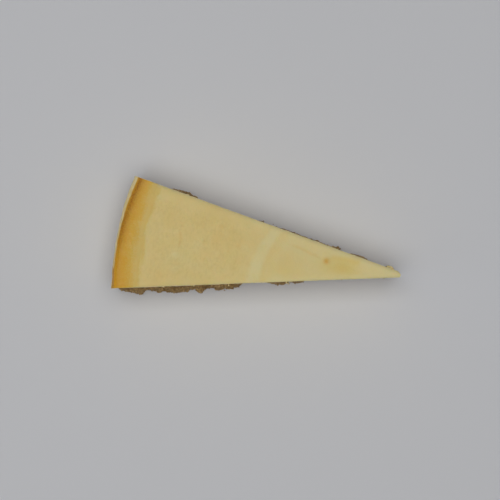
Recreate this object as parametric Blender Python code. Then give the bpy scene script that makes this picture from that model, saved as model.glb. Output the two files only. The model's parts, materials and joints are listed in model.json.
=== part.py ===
"""A slice of plain baked cheesecake: a pale cheese layer standing on a thin base of biscuit crumbs.

The slice is about one sixteenth of a round cake. It stands on its flat underside with its tip towards
+X, its browned outer wall towards -X, and its two knife cuts towards -Y and +Y. Points are worked out
from the place where the two cuts meet: a distance from it, and a turn, which is 0 along the middle of
the slice, positive towards +Y and HALF_ANGLE at a cut.
"""

import math

import bmesh
import bpy
from mathutils import Vector, noise

MM = 0.001

# The cake and its cuts
CAKE_RADIUS = 128.8 * MM  # the wall, a little inside a 26 cm tin
CAKE_HEIGHT = 42.0 * MM
HALF_ANGLE = math.radians(11.08)
CENTRE_MISS = 6.8 * MM  # the cake's own middle lies this far to the -Y side of the meeting cuts
TIP_LOSS = 5.7 * MM  # the thinnest end of the wedge, which breaks off
MEETING_POINT = (67.2 * MM, 1.15 * MM)  # puts the origin under the middle of the slice

# The two layers
BASE_HEIGHT = 6.7 * MM
LAYER_GAP = 0.3 * MM
CHEESE_FLOOR = BASE_HEIGHT + LAYER_GAP

# The outer wall, upright below and leaning in towards the rim
WALL_LEAN = 1.8 * MM
LEAN_STARTS = 20.0 * MM
LEAN_POWER = 4
LEAN_TWIST = 0.58 * MM  # the lean grows by this much towards +Y, and shrinks by it towards -Y
CORNER_PULL = 0.45 * MM  # the rim draws in a little more at both corners

# The top: a raised browned rim, a sagging middle and one small hollow near the tip
RIM_RISE = 1.0 * MM
RIM_FLAT = 3.0 * MM
RIM_WIDTH = 13.0 * MM
EDGE_ROLL = 1.6 * MM
EDGE_DROP = 0.6 * MM
MIDDLE_SAG = 0.5 * MM
SAG_FROM, SAG_TO = 95.0 * MM, 45.0 * MM  # distances from the meeting point
HOLLOW_DEPTH = 0.45 * MM
HOLLOW_FROM_CUTS = 29.5 * MM  # its distance from the meeting point
HOLLOW_HALF = (6.5 * MM, 3.4 * MM)

# How the knife and the oven leave the cheese uneven
UNEVEN_SEED = 16
WOBBLE_DEPTH = 0.16 * MM
WOBBLE_LENGTH = 9.0 * MM

# Mesh steps of the cheese layer
STEPS_ALONG = 44
STEPS_ACROSS = 12
WALL_LEVELS = (0.97, 0.92, 0.84, 0.73, 0.58, 0.4, 0.2, 0.0)  # shares of the wall's height

# The crumb base: where it is pushed out past the cuts.
# Each lump is its distance from the rim along the cut, its reach past the cut and its half width, in mm.
LUMPS_LOW_SIDE = (
    (27.0, 2.6, 28.0), (1.0, 1.8, 4.0), (5.5, 2.7, 6.0), (8.6, 3.8, 3.4), (17.6, 3.5, 2.8),
    (22.0, 3.6, 3.2), (25.5, 3.7, 6.2), (29.8, 3.6, 2.2), (35.8, 4.4, 2.7), (43.8, 3.3, 3.4),
    (45.0, 3.2, 2.8), (48.9, 3.1, 3.8), (51.2, 2.6, 3.2), (69.5, 1.4, 4.0), (73.0, 1.8, 2.6),
    (79.2, 1.4, 3.6),
)
LUMPS_HIGH_SIDE = (
    (17.3, 1.55, 6.0), (20.0, 1.85, 3.4), (23.2, 1.4, 2.0), (55.3, 1.1, 1.6), (68.0, 1.1, 9.5),
    (81.0, 1.1, 9.0), (90.2, 1.3, 3.2), (91.3, 1.8, 1.5), (102.0, 1.4, 5.5), (116.2, 1.5, 2.4),
)
LEAST_LEDGE = 0.4 * MM
LUMP_SHOULDER = 0.6  # the power that makes a lump round-shouldered
CORNER_FADE = 2.5 * MM
UNDER_CHEESE = 0.8 * MM  # how far inside the cut the ledge's slope starts
# Down the side of the base: share of the ledge's reach, and height as a share of the base's
LEDGE_SHAPE = ((0.4, 0.95), (0.82, 0.76), (1.0, 0.5), (0.95, 0.24), (0.75, 0.05))
STEPS_CUT = 120
STEPS_TIP = 4
STEPS_WALL = 44
CRUMB_DEPTH = 0.42 * MM
CRUMB_LENGTH = 2.1 * MM

# The underside: a plain flat with three corners carries the slice, and the ragged edge stands just clear
EDGE_CLEARANCE = BASE_HEIGHT * LEDGE_SHAPE[-1][1]
FLAT_FROM_WALL = 1.2 * MM
FLAT_FROM_TIP = 2.0 * MM
FLAT_TURN = 0.96 * HALF_ANGLE  # the two corners at the wall, a little inside the cuts
FLAT_BOW = 0.4 * MM  # how far the flat's sides are drawn in at their middles

# Finishes: base colour, roughness
CHEESE_FINISH = ((0.76, 0.62, 0.27, 1.0), 0.55)
BISCUIT_FINISH = ((0.24, 0.15, 0.065, 1.0), 0.9)


def eased(share):
    """0 to 1 with no corner at either end."""
    share = min(max(share, 0.0), 1.0)
    return share * share * (3 - 2 * share)


def at(distance, turn, height):
    """The point this far from the meeting cuts."""
    return Vector((
        MEETING_POINT[0] - distance * math.cos(turn),
        MEETING_POINT[1] + distance * math.sin(turn),
        height,
    ))


def wall_distance(turn, height):
    """How far the outer wall is from the meeting cuts: a circle round the cake's own middle."""
    lean = max(0.0, (height - LEAN_STARTS) / (CAKE_HEIGHT - LEAN_STARTS)) ** LEAN_POWER
    side = turn / HALF_ANGLE
    radius = CAKE_RADIUS - lean * (WALL_LEAN + LEAN_TWIST * side + CORNER_PULL * side**2)
    across = CENTRE_MISS * math.cos(turn)
    return math.sqrt(radius**2 - across**2) - CENTRE_MISS * math.sin(turn)


def tip_distance(turn):
    """The blunt tip, with its two corners worn round."""
    return TIP_LOSS + 0.5 * MM * (turn / HALF_ANGLE) ** 2


def top_height(distance, turn):
    """Height of the cheese's top surface."""
    from_rim = wall_distance(turn, CAKE_HEIGHT) - distance
    height = CAKE_HEIGHT - RIM_RISE
    height += RIM_RISE * (1 - eased((from_rim - RIM_FLAT) / (RIM_WIDTH - RIM_FLAT)))
    height -= EDGE_DROP * max(0.0, 1 - from_rim / EDGE_ROLL) ** 2
    height -= MIDDLE_SAG * eased((SAG_FROM - distance) / (SAG_FROM - SAG_TO))
    along = (distance * math.cos(turn) - HOLLOW_FROM_CUTS) / HOLLOW_HALF[0]
    across = distance * math.sin(turn) / HOLLOW_HALF[1]
    return height - HOLLOW_DEPTH * math.exp(-(along**2) - across**2)


def uneven(point, depth, length, floor, ceiling=None):
    """The point moved by smooth noise, held between two heights, and left level at the floor."""
    push = noise.noise_vector(point / length) * depth
    if point.z <= floor:
        push.z = 0.0
    moved = point + push
    moved.z = max(moved.z, floor)
    if ceiling is not None:
        moved.z = min(moved.z, ceiling)
    return moved


def material(name, finish):
    """A Principled material of one colour."""
    made = bpy.data.materials.new(name)
    made.use_nodes = True
    shader = made.node_tree.nodes["Principled BSDF"]
    colour, roughness = finish
    shader.inputs["Base Color"].default_value = colour
    shader.inputs["Roughness"].default_value = roughness
    shader.inputs["Metallic"].default_value = 0.0
    made.diffuse_color = colour
    return made


def add_walls(mesh, rings):
    """Quads between each ring of vertices and the one below it. Rings run anticlockwise from above."""
    for upper, lower in zip(rings, rings[1:]):
        for here in range(len(upper)):
            following = (here + 1) % len(upper)
            mesh.faces.new((upper[here], lower[here], lower[following], upper[following]))


def finish_object(name, mesh, finish):
    """The mesh as a named, smooth-shaded object with its material."""
    data = bpy.data.meshes.new(name)
    mesh.to_mesh(data)
    mesh.free()
    data.shade_smooth()
    data.set_sharp_from_angle(angle=math.radians(40))
    data.materials.append(material(name, finish))
    made = bpy.data.objects.new(name, data)
    bpy.context.scene.collection.objects.link(made)
    return made


def border(rows, columns):
    """The index pairs round a grid of points, anticlockwise from above."""
    pairs = [(row, 0) for row in range(rows)]
    pairs += [(rows, column) for column in range(columns)]
    pairs += [(row, columns) for row in range(rows, 0, -1)]
    pairs += [(0, column) for column in range(columns, 0, -1)]
    return pairs


def cheese_layer():
    """The cheese: a grid of points over the top, and rings of its border down to the flat floor."""

    def plan(row, column, height):
        turn = HALF_ANGLE * (2 * column / STEPS_ACROSS - 1)
        rim, tip = wall_distance(turn, height), tip_distance(turn)
        # Rows lie closer together at the rim, where the top rolls over.
        share = (row / STEPS_ALONG) ** 1.25
        return rim + (tip - rim) * share, turn

    def point(row, column, level):
        if level is None:
            distance, turn = plan(row, column, CAKE_HEIGHT)
            height = top_height(distance, turn)
        else:
            distance, turn = plan(row, column, CAKE_HEIGHT)
            height = CHEESE_FLOOR + level * (top_height(distance, turn) - CHEESE_FLOOR)
            distance, turn = plan(row, column, height)
        return uneven(at(distance, turn, height), WOBBLE_DEPTH, WOBBLE_LENGTH, CHEESE_FLOOR)

    mesh = bmesh.new()
    top = [
        [mesh.verts.new(point(row, column, None)) for column in range(STEPS_ACROSS + 1)]
        for row in range(STEPS_ALONG + 1)
    ]
    for row in range(STEPS_ALONG):
        for column in range(STEPS_ACROSS):
            mesh.faces.new((
                top[row][column], top[row + 1][column],
                top[row + 1][column + 1], top[row][column + 1],
            ))
    around = border(STEPS_ALONG, STEPS_ACROSS)
    rings = [[top[row][column] for row, column in around]]
    for level in WALL_LEVELS:
        rings.append([mesh.verts.new(point(row, column, level)) for row, column in around])
    add_walls(mesh, rings)
    mesh.faces.new(list(reversed(rings[-1])))
    return finish_object("cheese_layer", mesh, CHEESE_FINISH)


def ledge(along, from_wall, lumps):
    """How far the base stands out past a cut, this far along it from the rim and from the wall's foot."""
    reach = LEAST_LEDGE
    for place, out, half in lumps:
        off_centre = (along / MM - place) / half
        if abs(off_centre) < 1:
            reach = max(reach, out * MM * (1 - off_centre**2) ** LUMP_SHOULDER)
    return reach * eased(from_wall / CORNER_FADE)


def base_outline():
    """Points round the base, anticlockwise from above: (distance, turn, outward direction, ledge)."""
    out_low = Vector((math.sin(HALF_ANGLE), -math.cos(HALF_ANGLE), 0))
    out_high = Vector((math.sin(HALF_ANGLE), math.cos(HALF_ANGLE), 0))
    points = []
    for side, outward, lumps in ((-1, out_low, LUMPS_LOW_SIDE), (1, out_high, LUMPS_HIGH_SIDE)):
        turn = side * HALF_ANGLE
        rim, tip = wall_distance(turn, 0.0), tip_distance(turn)
        cut = []
        for step in range(STEPS_CUT + 1):
            from_wall = (rim - tip) * step / STEPS_CUT
            # The lumps are placed from the rim as seen from above, a little inside the wall.
            from_top_rim = from_wall - (rim - wall_distance(turn, CAKE_HEIGHT))
            cut.append((rim - from_wall, turn, outward, ledge(from_top_rim, from_wall, lumps)))
        if side < 0:
            points += cut
            for step in range(1, STEPS_TIP):
                turn = HALF_ANGLE * (2 * step / STEPS_TIP - 1)
                points.append((tip_distance(turn), turn, Vector((1, 0, 0)), LEAST_LEDGE))
        else:
            points += reversed(cut)
    for step in range(1, STEPS_WALL):
        turn = HALF_ANGLE * (1 - 2 * step / STEPS_WALL)
        points.append((wall_distance(turn, 0.0), turn, at(1, turn, 0) - at(0, 0, 0), 0.0))
    return points


def flat_outline():
    """Points round the flat underside, one for each point of base_outline."""
    low, high = (at(wall_distance(turn, 0.0) - FLAT_FROM_WALL, turn, 0) for turn in (-FLAT_TURN, FLAT_TURN))
    tip = at(TIP_LOSS + FLAT_FROM_TIP, 0, 0)
    cut_steps = STEPS_CUT + STEPS_TIP // 2
    points = []
    for start, end, steps in ((low, tip, cut_steps), (tip, high, cut_steps), (high, low, STEPS_WALL)):
        inward = Vector((start.y - end.y, end.x - start.x, 0)).normalized()
        for step in range(steps):
            share = step / steps
            points.append(start.lerp(end, share) + inward * FLAT_BOW * 4 * share * (1 - share))
    return points


def biscuit_base():
    """The crumb base: a level top under the cheese, ragged sides, and a flat underside at z = 0."""
    outline = base_outline()
    mesh = bmesh.new()
    rings = [[]]
    for distance, turn, outward, _ in outline:
        rings[0].append(mesh.verts.new(at(distance, turn, BASE_HEIGHT) - outward * UNDER_CHEESE))
    for share, level in LEDGE_SHAPE:
        ring = []
        for distance, turn, outward, reach in outline:
            plain = at(distance, turn, BASE_HEIGHT * level) + outward * reach * share
            ragged = uneven(plain, CRUMB_DEPTH, CRUMB_LENGTH, EDGE_CLEARANCE, BASE_HEIGHT)
            ring.append(mesh.verts.new(ragged))
        rings.append(ring)
    rings.append([mesh.verts.new(point) for point in flat_outline()])
    mesh.faces.new(rings[0])
    add_walls(mesh, rings)
    mesh.faces.new(list(reversed(rings[-1])))
    return finish_object("biscuit_base", mesh, BISCUIT_FINISH)


def clear_scene():
    for old in list(bpy.data.objects):
        bpy.data.objects.remove(old, do_unlink=True)


clear_scene()
noise.seed_set(UNEVEN_SEED)
cheese_layer()
biscuit_base()
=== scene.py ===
# %% [markdown]
# # A slice of plain baked cheesecake
#
# This lesson dresses a solid model of one slice of cheesecake: a pale cheese layer with a browned rim,
# on a base of pressed biscuit crumbs. The solid model gives every place and size. Here each layer gets
# a fine mesh with the small relief that an oven and a knife leave, and a material made only of nodes.
#
# The frame is loaded first. It holds the two solids in metres, with Z up and the tip towards +X.

# %% Load the solid model
import json
import math

import bmesh
import bpy
import numpy as np
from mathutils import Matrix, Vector, noise

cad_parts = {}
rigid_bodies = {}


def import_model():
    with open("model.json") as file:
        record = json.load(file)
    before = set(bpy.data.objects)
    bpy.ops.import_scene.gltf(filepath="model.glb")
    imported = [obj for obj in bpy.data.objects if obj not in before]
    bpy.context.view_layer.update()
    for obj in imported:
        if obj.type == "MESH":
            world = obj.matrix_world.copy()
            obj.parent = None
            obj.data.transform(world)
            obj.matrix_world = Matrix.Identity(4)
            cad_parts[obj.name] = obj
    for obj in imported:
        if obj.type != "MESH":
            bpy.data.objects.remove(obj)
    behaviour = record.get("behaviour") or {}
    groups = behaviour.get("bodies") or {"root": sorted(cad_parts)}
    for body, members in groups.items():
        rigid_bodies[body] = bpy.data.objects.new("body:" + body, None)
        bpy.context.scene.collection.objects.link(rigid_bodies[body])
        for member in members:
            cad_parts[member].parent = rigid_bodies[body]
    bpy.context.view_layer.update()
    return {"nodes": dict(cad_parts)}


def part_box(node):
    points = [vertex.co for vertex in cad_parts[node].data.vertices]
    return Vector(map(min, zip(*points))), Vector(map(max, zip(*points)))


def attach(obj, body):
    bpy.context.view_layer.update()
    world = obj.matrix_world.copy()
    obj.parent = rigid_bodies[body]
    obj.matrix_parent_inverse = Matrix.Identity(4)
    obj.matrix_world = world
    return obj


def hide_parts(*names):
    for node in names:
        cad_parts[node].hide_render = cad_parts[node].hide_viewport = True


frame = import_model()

MM = 0.001
cheese_low, cheese_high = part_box("cheese_layer")
base_low, base_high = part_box("biscuit_base")
print("cheese from", round(cheese_low[2] / MM, 1), "to", round(cheese_high[2] / MM, 1), "mm up")

# %% [markdown]
# ## The plan of the slice
#
# A slice is easiest to think about from the point where the two knife cuts meet. Every point then has
# a distance from it and a turn away from the slice's middle line. The outer wall is an arc of the whole
# cake, whose own middle the knife missed by a few millimetres. These are the solid model's own driving
# sizes, so the fine mesh lies on the solid.

# %% Sizes and places
HALF_ANGLE = math.radians(11.08)
MEETING_POINT = np.array((67.2, 1.15)) * MM
CAKE_RADIUS = 128.8 * MM
CENTRE_MISS = 6.8 * MM
TIP_LOSS = 5.7 * MM
CAKE_HEIGHT = 42.0 * MM
WALL_LEAN = 1.8 * MM
LEAN_STARTS = 20.0 * MM
LEAN_TWIST = 0.58 * MM
CORNER_PULL = 0.45 * MM


def eased(share):
    """0 to 1 with no corner at either end."""
    share = np.clip(share, 0.0, 1.0)
    return share * share * (3 - 2 * share)


def wall_distance(turn, height):
    """How far the outer wall is from the meeting cuts at this turn and height."""
    lean = np.maximum(0.0, (height - LEAN_STARTS) / (CAKE_HEIGHT - LEAN_STARTS)) ** 4
    side = turn / HALF_ANGLE
    radius = CAKE_RADIUS - lean * (WALL_LEAN + LEAN_TWIST * side + CORNER_PULL * side**2)
    return np.sqrt(radius**2 - (CENTRE_MISS * np.cos(turn)) ** 2) - CENTRE_MISS * np.sin(turn)


def tip_distance(turn, height):
    """The blunt tip, with its corners worn round, most of all the upper corner on the +Y side."""
    side = turn / HALF_ANGLE
    near_top = np.exp(-(CAKE_HEIGHT - height) / (7 * MM))
    return TIP_LOSS + 0.5 * MM * side**2 + 1.1 * MM * np.maximum(side + 0.2, 0) ** 2 * near_top


def place(distance, turn, height):
    """Points in the frame, from distances, turns and heights."""
    x = MEETING_POINT[0] - distance * np.cos(turn)
    y = MEETING_POINT[1] + distance * np.sin(turn)
    return np.stack(np.broadcast_arrays(x, y, height), axis=-1)


rim_here = place(wall_distance(0.0, 0.0), 0.0, 0.0)
print("wall at", round(rim_here[0] / MM, 1), "mm; the solid's is at", round(base_low[0] / MM, 1))

# %% [markdown]
# ## The camera
#
# The photo looks straight down on the slice, with the tip to the right. Its scale and the turn of the
# slice in the picture are enough to place the camera: the pixel where the two cuts would meet ties the
# picture to the frame. A long lens from 0.8 m shows the wall only where it swells out past the rim.

# %% Camera
PICTURE_SIDE = 500  # pixels
PIXELS_PER_MM = 2.346  # at the level of the cake's top
MEETING_PIXEL = (414.4, 277.0)
SLICE_TURN = math.radians(8.88)  # clockwise from the picture's level
CAMERA_ABOVE = 0.80
SENSOR_MM = 36.0


def put_in_scene(name, data):
    """A new object that shows this camera, mesh or lamp."""
    thing = bpy.data.objects.new(name, data)
    bpy.context.collection.objects.link(thing)
    return thing


right_mm = (PICTURE_SIDE / 2 - MEETING_PIXEL[0]) / PIXELS_PER_MM
up_mm = (MEETING_PIXEL[1] - PICTURE_SIDE / 2) / PIXELS_PER_MM
turn_cos, turn_sin = math.cos(SLICE_TURN), math.sin(SLICE_TURN)
lens = bpy.data.cameras.new("overhead")
lens.sensor_width = SENSOR_MM
lens.lens = SENSOR_MM * CAMERA_ABOVE / (PICTURE_SIDE / PIXELS_PER_MM * MM)
camera = put_in_scene("overhead", lens)
camera.location = (
    MEETING_POINT[0] + (right_mm * turn_cos - up_mm * turn_sin) * MM,
    MEETING_POINT[1] + (right_mm * turn_sin + up_mm * turn_cos) * MM,
    CAKE_HEIGHT + CAMERA_ABOVE,
)
camera.rotation_euler = (0, 0, SLICE_TURN)
bpy.context.scene.camera = camera
print("lens", round(lens.lens, 1), "mm, camera at", [round(c, 3) for c in camera.location])

# %% [markdown]
# ## Noise and dents
#
# Baked food is never smooth. A few helpers make nearly all of its relief. `ripple` gives each point a
# smooth random value between about -1 and 1, with bumps of a chosen size, and `ripples` adds up several.
# `dents` presses small round hollows at chosen places, such as burst bubbles. `bell` fades a mark out on
# both sides of a line. All depend only on where a point is, so neighbours agree and the result is the
# same each time the script runs.

# %% Helpers for uneven surfaces


def ripple(points, size, seed=0):
    """Smooth noise at each point, with bumps about as wide as size (a number, or one for each axis)."""
    scaled = points / np.asarray(size) + seed * 19.7
    return np.fromiter((noise.noise(p) for p in scaled.tolist()), float, len(scaled))


def ripples(points, *layers):
    """Ripples added up, each given as its strength, its size in millimetres and its seed."""
    return sum(strength * ripple(points, np.multiply(size, MM), seed) for strength, size, seed in layers)


def bell(gap, reach, power=2):
    """1 where the gap is 0, falling softly to nearly 0 at twice the reach."""
    return np.exp(-(np.abs(gap / reach) ** power))


def mostly_small(generator, least, most, count, power=3):
    """Random sizes, few of them near the largest."""
    return least + (most - least) * generator.random(count) ** power


def dents(spots, centres, radii):
    """From 0 to 1 at each spot on a flat sheet: 1 at the middle of a hollow and 0 past its radius."""
    found = np.zeros(len(spots))
    for centre, radius in zip(centres, radii):
        near = np.flatnonzero(np.abs(spots - centre).max(axis=1) < radius)
        away = np.linalg.norm(spots[near] - centre, axis=1) / radius
        found[near] = np.maximum(found[near], (1 - np.minimum(away, 1.0) ** 2) ** 2)
    return found


def way_from_line(spots, line):
    """Distance of each spot from a line of several straight pieces."""
    nearest = np.full(len(spots), np.inf)
    for start, end in zip(line[:-1], line[1:]):
        piece = end - start
        along = np.clip((spots - start) @ piece / (piece @ piece), 0, 1)
        nearest = np.minimum(nearest, np.linalg.norm(spots - start - along[:, None] * piece, axis=1))
    return nearest


def patch(spots, centre, half):
    """From 0 to 1: a soft oval patch."""
    return np.exp(-(((spots - np.asarray(centre)) / half) ** 2).sum(axis=1))


# %% [markdown]
# ## Where things are on the top
#
# The top of the cake has its own small map, measured from where the cuts meet: `back` runs along the
# middle of the slice towards the rim, and `side` runs across it towards +Y. Oven heat browned the rim
# and a ring inside it. Farther in come a finely pitted field, a pale smooth stripe where the batter
# settled, a faint wrinkle that ends near a small brown spot, and a golden hollow near the tip.

# %% Marks on the top, in millimetres from the meeting cuts
STRIPE_BACK, STRIPE_SLANT, STRIPE_BEND, STRIPE_HALF = 65.8, -0.32, -0.012, 3.0
WRINKLE = np.array(((55.0, 5.86), (50.1, 4.69), (44.6, 2.95), (40.6, 2.07)))
SPOT = (37.9, 1.0)
HOLLOW, HOLLOW_HALF = (29.5, 0.0), (6.5, 3.4)
GOLDEN, GOLDEN_HALF = (31.2, -1.0), (8.0, 3.6)
GOLDEN_EDGE = np.array(((35.5, 2.6), (30.0, 2.9), (25.0, 2.3)))
YELLOW_PATCH, YELLOW_HALF = (54.7, -5.5), (7.5, 3.2)
LARGE_PITS = np.array(((101.5, 6.3), (102.2, 4.1), (91.2, 1.3)))
LARGE_PIT_RADII = (1.2, 1.0, 1.1)
BROWNISH = (((101.1, -10.0), (1.5, 1.0)), ((76.1, 1.6), (1.2, 1.2)), ((84.5, 8.5), (1.6, 1.0)))
WARM = (((104.3, -15.9), (6.0, 2.5)), ((95.5, -13.6), (6.0, 2.2)), ((86.0, 3.0), (5.0, 4.0)),
        ((55.0, -1.0), (9.0, 4.0)))
PALE_MARKS = (((88.5, 1.9), (0.9, 2.8)), ((102.8, -6.0), (1.6, 1.2)))
DARK_STREAK = np.array(((101.3, -2.5), (101.0, 0.5), (101.5, 3.0)))
PITTED_FROM, PITTED_TO = 72.0, 112.0
RING_FROM_RIM = 10.6


def top_map(points):
    """(back, side) of each point, in millimetres."""
    return np.stack((MEETING_POINT[0] - points[:, 0], points[:, 1] - MEETING_POINT[1]), axis=1) / MM


def turn_of(spots):
    """How far each spot is turned from the middle line."""
    return np.arctan2(spots[:, 1], spots[:, 0])


def past_stripe(spots):
    """How far each spot lies from the middle of the pale stripe, towards the rim."""
    side = spots[:, 1]
    return spots[:, 0] - (STRIPE_BACK + STRIPE_SLANT * side + STRIPE_BEND * side**2)


def gaps(spots):
    """How far each spot is inside the -Y cut, inside the +Y cut and inside the rim."""
    turn, away = turn_of(spots), np.linalg.norm(spots, axis=1)
    rim = wall_distance(turn, CAKE_HEIGHT) / MM - away
    return away * np.sin(HALF_ANGLE + turn), away * np.sin(HALF_ANGLE - turn), rim


def ring_distance(turn):
    """How far inside the rim the browned ring runs: a little nearer to it at the two corners."""
    side = turn / HALF_ANGLE
    return RING_FROM_RIM - 0.7 * side - 1.1 * side**2


def ring_wrinkles(spots):
    """Noise drawn out round the cake, for the wrinkles of the browned ring."""
    turn = turn_of(spots)
    round_the_cake = np.stack((gaps(spots)[2] * MM, turn * CAKE_RADIUS, 0 * turn), axis=1)
    return ripple(round_the_cake, (0.9 * MM, 6 * MM, MM), 85)


def pitted(spots):
    """From 0 to 1: where the skin is finely pitted. The field stops short of both cuts."""
    back = spots[:, 0]
    low_gap, high_gap, _ = gaps(spots)
    field = eased((back - PITTED_FROM) / 5) * (1 - eased((back - PITTED_TO) / 5))
    return field * eased((low_gap - 1.5) / 3) * eased((high_gap - 3) / 4)


print(len(LARGE_PITS), "large pits,", len(BROWNISH), "brownish spots,", len(WARM), "warm patches")

# %% [markdown]
# ## The form of the top
#
# `top_height` is the solid model's top: a browned rim that stands one millimetre proud, a middle that
# sagged as it cooled, and the hollow near the tip. `top_relief` adds what is too fine for the solid.
# The pits are small burst bubbles, so they are drawn at random places from a seeded generator.

# %% Height of the top
RIM_RISE, RIM_FLAT, RIM_WIDTH = 1.0 * MM, 3.0 * MM, 13.0 * MM
EDGE_ROLL, EDGE_DROP = 1.6 * MM, 0.6 * MM
MIDDLE_SAG, SAG_FROM, SAG_TO = 0.5 * MM, 95.0 * MM, 45.0 * MM
HOLLOW_DEPTH = 0.45 * MM


def top_height(distance, turn):
    """Height of the solid's top at this distance and turn."""
    from_rim = wall_distance(turn, CAKE_HEIGHT) - distance
    height = CAKE_HEIGHT - RIM_RISE
    height = height + RIM_RISE * (1 - eased((from_rim - RIM_FLAT) / (RIM_WIDTH - RIM_FLAT)))
    height = height - EDGE_DROP * np.maximum(0.0, 1 - from_rim / EDGE_ROLL) ** 2
    height = height - MIDDLE_SAG * eased((SAG_FROM - distance) / (SAG_FROM - SAG_TO))
    along = (distance * np.cos(turn) / MM - HOLLOW[0]) / HOLLOW_HALF[0]
    across = distance * np.sin(turn) / MM / HOLLOW_HALF[1]
    return height - HOLLOW_DEPTH * np.exp(-(along**2) - across**2)


# %% [markdown]
# The fine relief is a sum of marks from a few hundredths to a quarter of a millimetre deep. The grain of
# the field runs a little across the slice, because the batter was drawn round the tin as it set.

# %% Fine relief of the top
dice = np.random.default_rng(16)
PIT_COUNT = 170
pit_back = dice.uniform(PITTED_FROM - 2, PITTED_TO, PIT_COUNT)
pit_side = dice.uniform(-0.85, 0.8, PIT_COUNT) * pit_back * math.tan(HALF_ANGLE)
pit_places = np.stack((pit_back, pit_side), axis=1)
pit_radii = dice.uniform(0.4, 0.85, PIT_COUNT)
ACROSS_GRAIN = (1.0 * MM, 1.8 * MM, MM)


def top_relief(points):
    """Fine height added to the top, in metres."""
    spots = top_map(points)
    flat = points * (1, 1, 0)
    field = pitted(spots)
    stripe_gap, rim_gap = past_stripe(spots), gaps(spots)[2]
    ring_gap = rim_gap - ring_distance(turn_of(spots))
    relief = ripples(flat, (0.11, 21, 1), (0.06, 7, 2), (0.03, 2.6, 5))
    relief += (0.010 + 0.040 * field) * ripple(flat, ACROSS_GRAIN, 3)
    relief += 0.08 * (1 - eased(rim_gap / 9)) * ripple(flat, (1.6 * MM, 2.6 * MM, MM), 4)
    relief -= 0.06 * dents(spots, pit_places, pit_radii)
    relief -= 0.20 * dents(spots, LARGE_PITS, LARGE_PIT_RADII)
    relief += 0.12 * bell(stripe_gap, STRIPE_HALF, 3) - 0.06 * bell(stripe_gap + 4.4, 1.6)
    relief -= 0.07 * bell(way_from_line(spots, WRINKLE), 0.6)
    relief -= 0.06 * bell(way_from_line(spots, DARK_STREAK), 0.5)
    relief -= 0.25 * patch(spots, SPOT, 0.9)
    broken = np.clip(0.5 + 1.3 * ripple(flat, 6 * MM, 6), 0, 1.2)
    relief -= 0.05 * broken * bell(ring_gap + 0.4, 0.5)
    relief += 0.06 * bell(ring_gap, 2.5) * ring_wrinkles(spots)
    return relief * MM


print(PIT_COUNT, "small pits, and", len(LARGE_PITS), "large ones")

# %% [markdown]
# ## The sides of the cheese
#
# A knife leaves a cut nearly flat, but cheese is sticky: the blade drags fine upright streaks, opens
# small bubbles, and tears the curd where it is drier. The outer wall was baked against the lined tin,
# so it has soft upright creases and pinholes. Each function takes a place on the unrolled wall, as the
# distance along it and the height, and says how far the surface moves outwards.

# %% Relief of the cut sides and of the outer wall
CUT_LENGTH, CUT_BUBBLES, CUT_BUBBLE_RADII = 122 * MM, 170, (0.5 * MM, 1.7 * MM)
OUTER_LENGTH, PINHOLES, PINHOLE_RADII = 50 * MM, 90, (0.4 * MM, 1.0 * MM)
BUBBLES_FROM, BUBBLES_TO = 8 * MM, 40 * MM  # heights


def sheet_points(along, height):
    """Places on an unrolled wall as points, for the noise."""
    return np.stack((along, np.zeros_like(along), height), axis=1)


def bubbles(along_reach, count, smallest, largest, generator):
    """Random bubble places on an unrolled wall, mostly small ones."""
    centres = generator.uniform((0, BUBBLES_FROM), (along_reach, BUBBLES_TO), (count, 2))
    return centres, mostly_small(generator, smallest, largest, count)


def cut_bubbles(side):
    """The bubbles that the knife opened on one cut."""
    return bubbles(CUT_LENGTH, CUT_BUBBLES, *CUT_BUBBLE_RADII, np.random.default_rng(200 + side))


def cut_relief(along, height, side):
    """How far a knife cut stands out, in metres. side is -1 or 1."""
    seed = 30 + 7 * side
    sheet = sheet_points(along, height)
    slanted = sheet + sheet[:, 2:] * (0.12 * side, 0, 0)
    torn = eased((ripple(sheet, (11 * MM, MM, 7 * MM), seed + 3) - 0.02) / 0.25)
    dragged = (1 - torn) * eased((ripple(sheet, (9 * MM, MM, 20 * MM), seed + 3) + 0.15) / 0.3)
    near_foot = 1 - eased((height - base_high[2]) / (2.5 * MM))
    relief = ripples(sheet, (0.12, 13, seed), (0.05, (4, 1, 3), seed + 2))
    relief += 0.07 * dragged * ripple(slanted, (1.9 * MM, MM, 16 * MM), seed + 1)
    relief += (0.03 + 0.12 * torn) * ripple(sheet, 1.3 * MM, seed + 4)
    relief += 0.06 * torn * ripple(sheet, 0.8 * MM, seed + 5)
    relief += 0.12 * near_foot * ripple(sheet, 1.6 * MM, seed + 6)
    relief -= 0.38 * dents(np.stack((along, height), axis=1), *cut_bubbles(side))
    return relief * MM


def outer_relief(along, height):
    """How far the outer wall stands out, in metres."""
    sheet = sheet_points(along, height)
    pinholes = bubbles(OUTER_LENGTH, PINHOLES, *PINHOLE_RADII, np.random.default_rng(300))
    near_rim = eased((height / MM - 35) / 5)
    relief = ripples(sheet, (0.16, (5, 1, 26), 61), (0.06, (2, 1, 6), 62))
    relief -= 0.13 * bell(ripple(sheet, (9 * MM, MM, 40 * MM), 64), 0.05)
    relief += 0.09 * near_rim * ripple(sheet, 1.5 * MM, 63)
    relief -= 0.22 * dents(np.stack((along, height), axis=1), *pinholes)
    return relief * MM


print("bubbles on each cut:", len(cut_bubbles(1)[1]))

# %% [markdown]
# ## The mesh of the cheese layer
#
# One grid covers the top, from the rim to the tip and from cut to cut. Its border then drops to the
# floor of the layer in rings. A grid was chosen over a remesh because the knife's edges stay crisp and
# its rows can crowd together where the top rolls over. The floor lies a little inside the crumbs, so
# that the two layers grow into each other as the baked ones do.

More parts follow.
